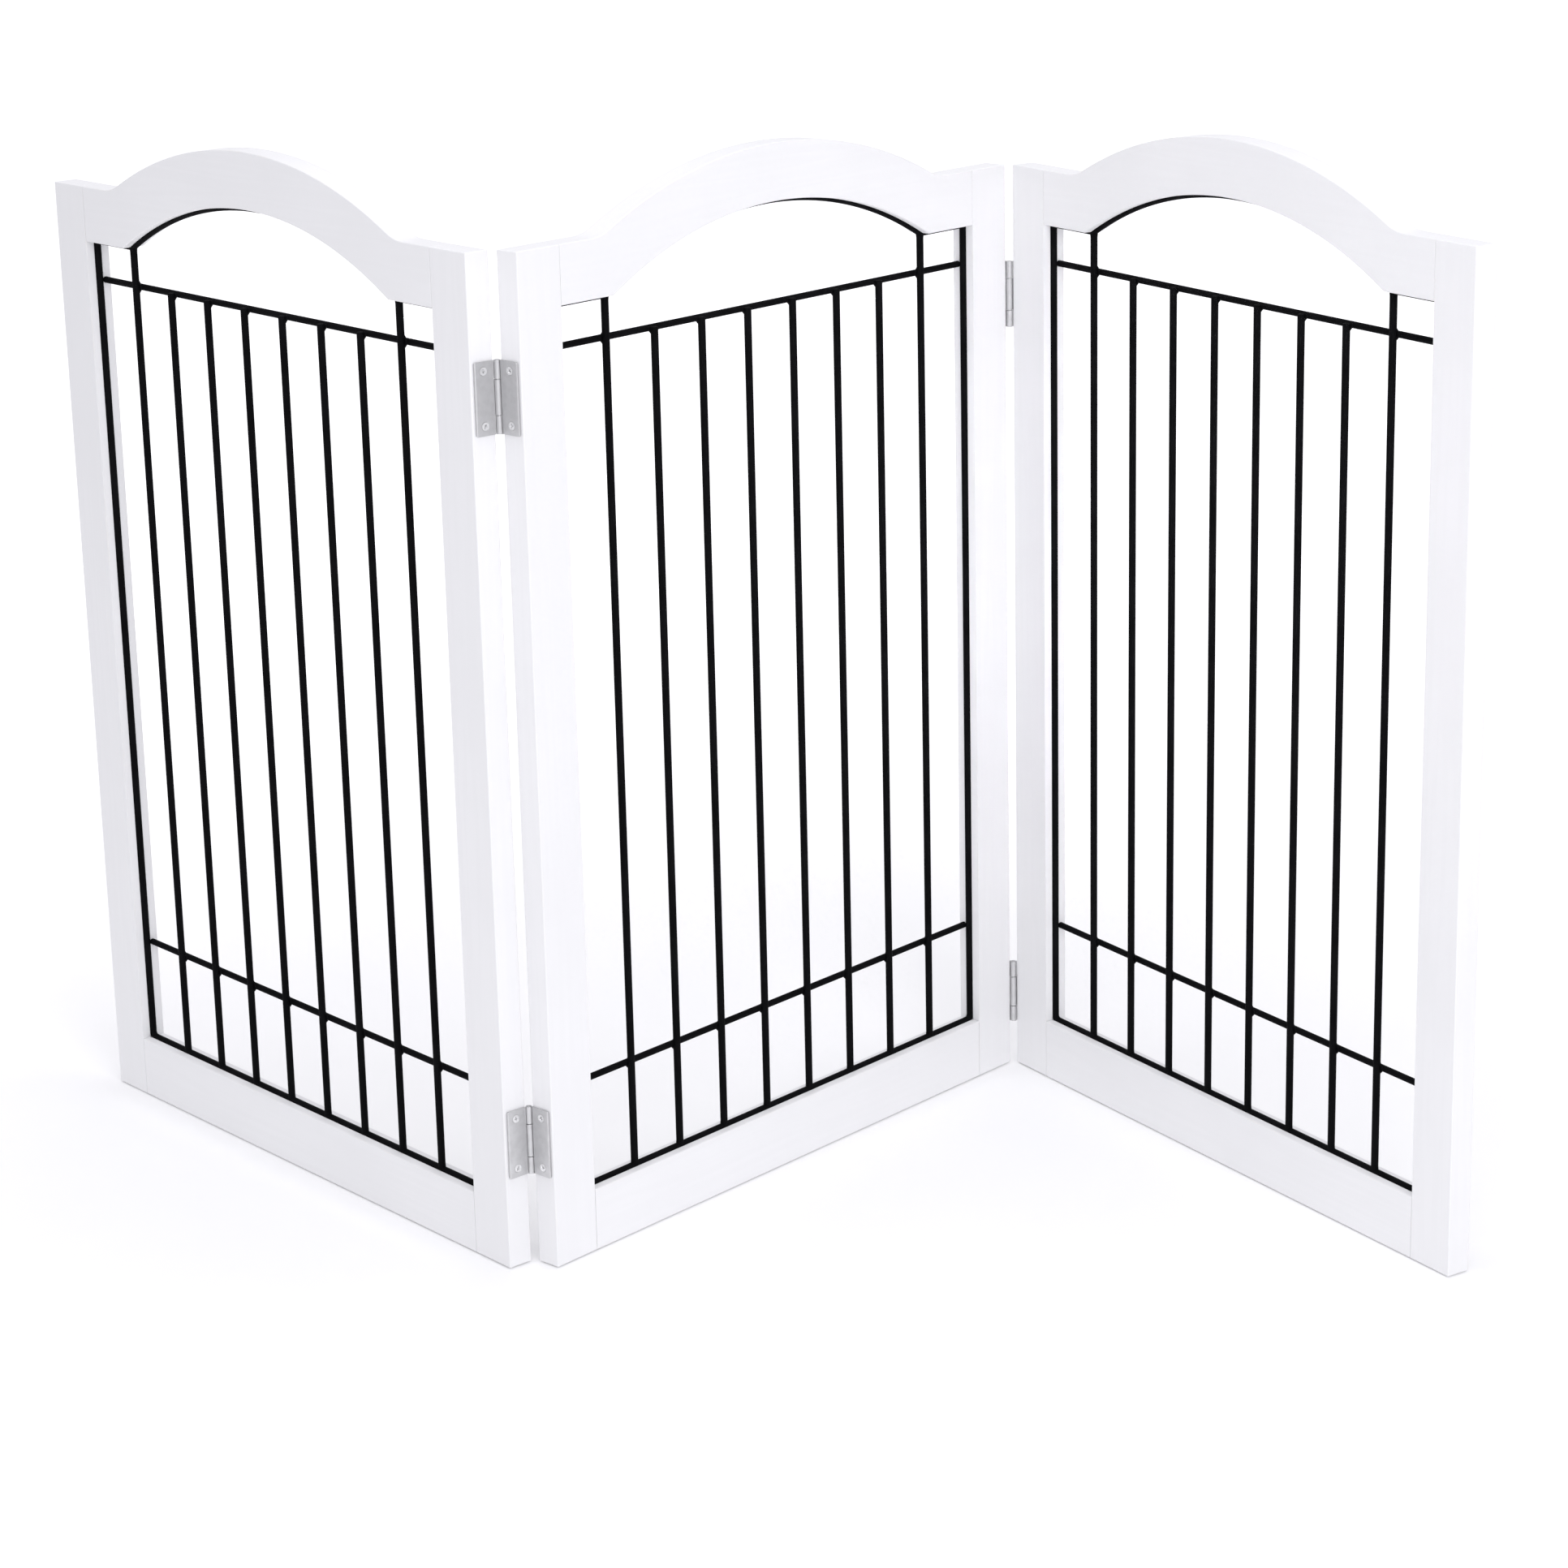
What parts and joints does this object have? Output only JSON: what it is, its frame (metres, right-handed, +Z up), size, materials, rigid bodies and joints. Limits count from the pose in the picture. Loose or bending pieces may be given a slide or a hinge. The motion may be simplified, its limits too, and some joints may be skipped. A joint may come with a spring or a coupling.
{
  "type": "folding pet gate",
  "caption": "Free-standing folding pet gate with arched white timber panels, black wire grids and steel butt hinges, standing in a Z.",
  "frame": {"origin": "middle of the middle panel's underside, on the floor", "axes": "+X along the middle panel, towards its right end as seen from the front; +Y from its front face to its rear face; +Z up"},
  "size_m": [0.5519, 1.0289, 0.762],
  "materials": {
    "white_paint": "satin white paint on smooth timber",
    "black_wire": "satin black powder coat on steel wire",
    "zinc_hinge": "zinc plated, lightly brushed",
    "zinc_screw": "bright zinc plated",
    "beech_dowel": "bare beech"
  },
  "bodies": {
    "middle_panel": {"middle_left_stile": "white_paint", "middle_right_stile": "white_paint", "middle_bottom_rail": "white_paint", "middle_top_rail": "white_paint", "middle_wire_grid": "black_wire", "middle_top_left_dowel": "beech_dowel", "middle_top_right_dowel": "beech_dowel", "middle_bottom_left_dowel": "beech_dowel", "middle_bottom_right_dowel": "beech_dowel", "left_upper_hinge_fixed_leaf": "zinc_hinge", "left_upper_hinge_pin": "zinc_hinge", "left_upper_hinge_fixed_screw_1": "zinc_screw", "left_upper_hinge_fixed_screw_2": "zinc_screw", "left_lower_hinge_fixed_leaf": "zinc_hinge", "left_lower_hinge_pin": "zinc_hinge", "left_lower_hinge_fixed_screw_1": "zinc_screw", "left_lower_hinge_fixed_screw_2": "zinc_screw", "right_upper_hinge_fixed_leaf": "zinc_hinge", "right_upper_hinge_pin": "zinc_hinge", "right_upper_hinge_fixed_screw_1": "zinc_screw", "right_upper_hinge_fixed_screw_2": "zinc_screw", "right_lower_hinge_fixed_leaf": "zinc_hinge", "right_lower_hinge_pin": "zinc_hinge", "right_lower_hinge_fixed_screw_1": "zinc_screw", "right_lower_hinge_fixed_screw_2": "zinc_screw"},
    "left_panel": {"left_left_stile": "white_paint", "left_right_stile": "white_paint", "left_bottom_rail": "white_paint", "left_top_rail": "white_paint", "left_wire_grid": "black_wire", "left_top_left_dowel": "beech_dowel", "left_top_right_dowel": "beech_dowel", "left_bottom_left_dowel": "beech_dowel", "left_bottom_right_dowel": "beech_dowel", "left_upper_hinge_swing_leaf": "zinc_hinge", "left_upper_hinge_swing_screw_1": "zinc_screw", "left_upper_hinge_swing_screw_2": "zinc_screw", "left_lower_hinge_swing_leaf": "zinc_hinge", "left_lower_hinge_swing_screw_1": "zinc_screw", "left_lower_hinge_swing_screw_2": "zinc_screw"},
    "right_panel": {"right_left_stile": "white_paint", "right_right_stile": "white_paint", "right_bottom_rail": "white_paint", "right_top_rail": "white_paint", "right_wire_grid": "black_wire", "right_top_left_dowel": "beech_dowel", "right_top_right_dowel": "beech_dowel", "right_bottom_left_dowel": "beech_dowel", "right_bottom_right_dowel": "beech_dowel", "right_upper_hinge_swing_leaf": "zinc_hinge", "right_upper_hinge_swing_screw_1": "zinc_screw", "right_upper_hinge_swing_screw_2": "zinc_screw", "right_lower_hinge_swing_leaf": "zinc_hinge", "right_lower_hinge_swing_screw_1": "zinc_screw", "right_lower_hinge_swing_screw_2": "zinc_screw"}
  },
  "joints": [
    {"name": "left_fold", "type": "hinge", "parent": "middle_panel", "child": "left_panel", "pos_m": [-0.2561, 0.0112, 0], "axis": [0, 0, 1], "range_deg": [-83.6, 96.4]},
    {"name": "right_fold", "type": "hinge", "parent": "middle_panel", "child": "right_panel", "pos_m": [0.2561, -0.0112, 0], "axis": [0, 0, 1], "range_deg": [-74.6, 105.4]}
  ]
}
